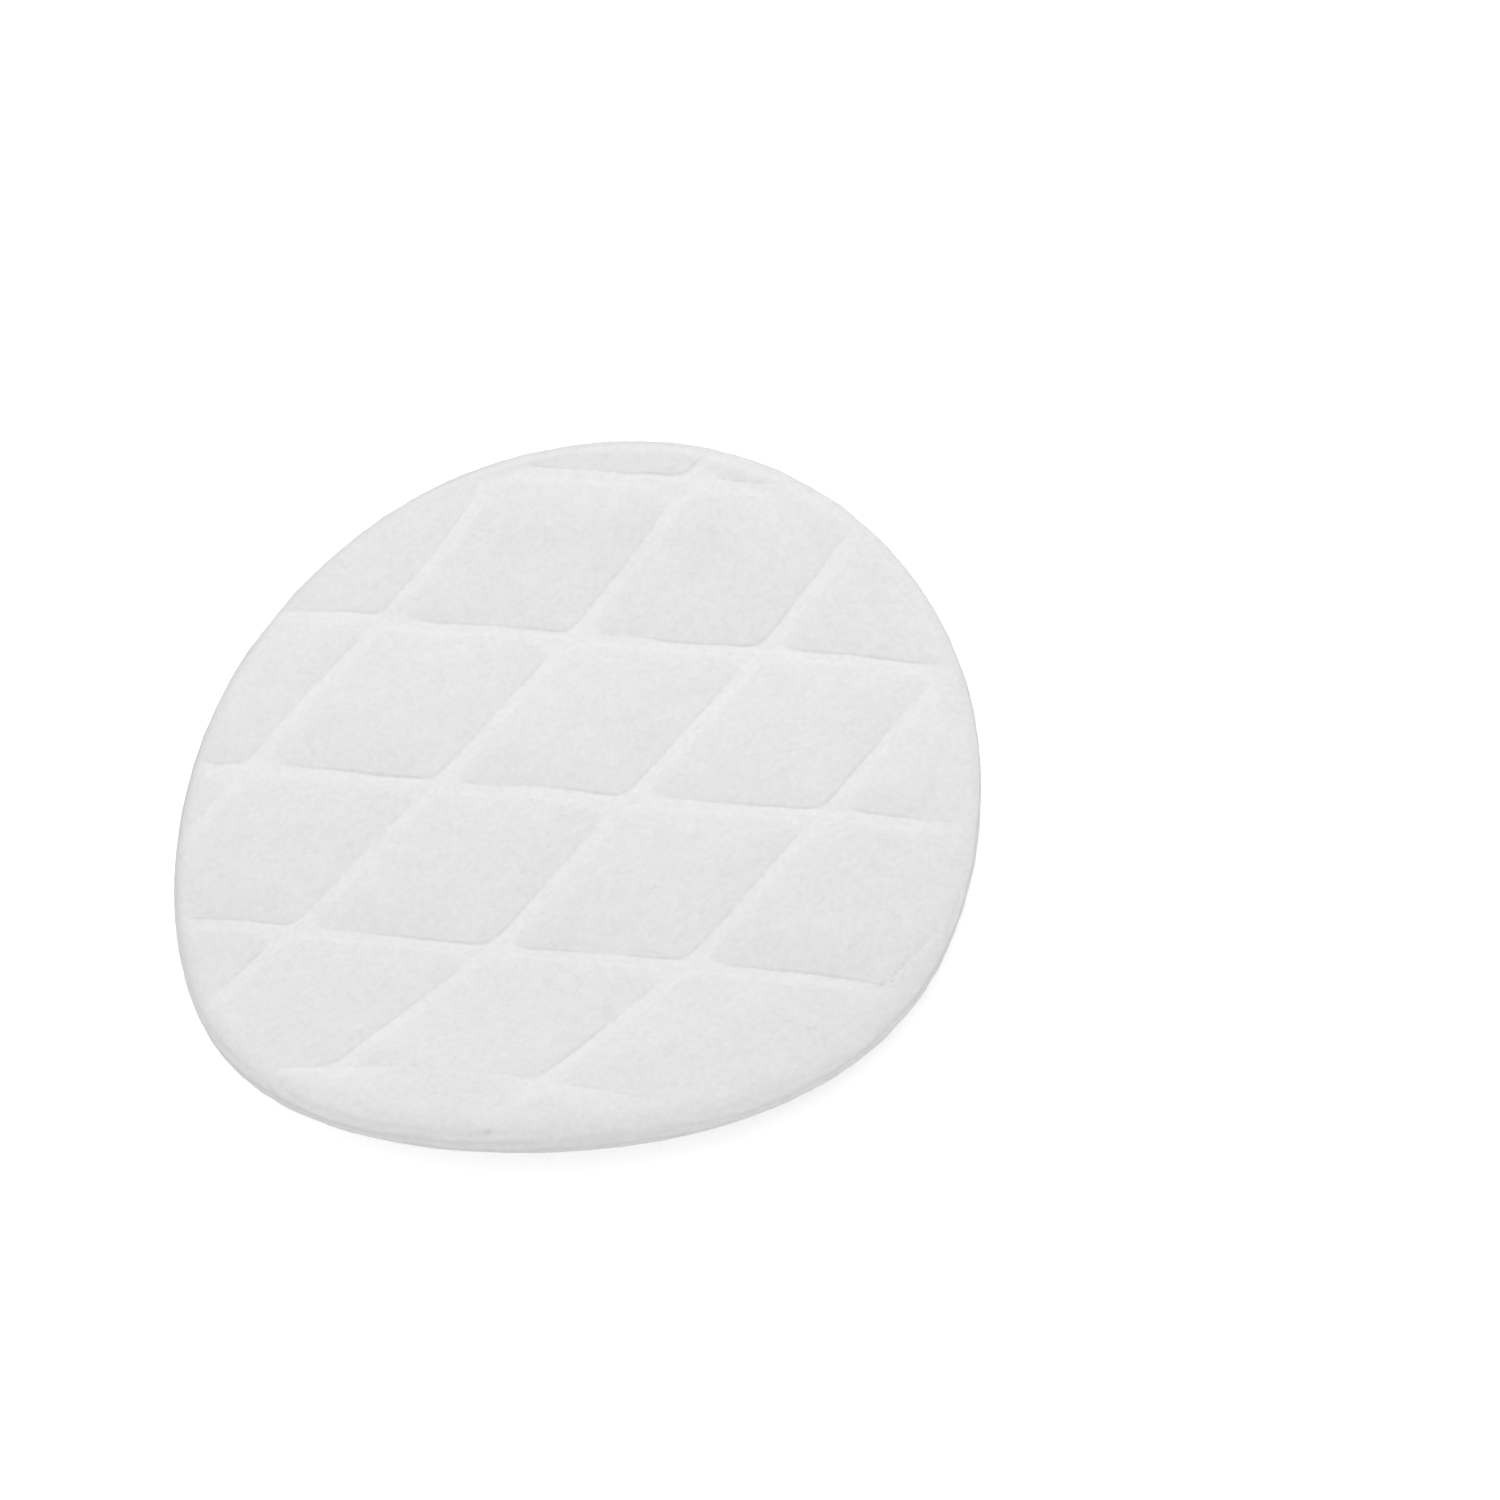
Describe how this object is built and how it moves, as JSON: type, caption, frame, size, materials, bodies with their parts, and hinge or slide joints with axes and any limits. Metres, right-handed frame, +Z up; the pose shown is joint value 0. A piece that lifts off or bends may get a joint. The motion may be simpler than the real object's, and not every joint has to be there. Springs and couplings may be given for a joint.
{
  "type": "cotton pad",
  "caption": "Round quilted cosmetic cotton pad: a soft disc of pressed cotton with diamond quilting, a soft cut rim and two slightly curled sides.",
  "frame": {"origin": "on the surface that the pad lies on, under the middle of its outline", "axes": "+Z up, through the pad's thickness; +X along the long diagonal of the quilted diamonds; +Y along their short diagonal"},
  "size_m": [0.0574, 0.0572, 0.0074],
  "materials": {
    "cotton": "matt white pressed cotton web, finely fibrous, with quilted grooves and a soft layered rim"
  },
  "bodies": {
    "root": {"cotton_pad": "cotton"}
  },
  "joints": []
}
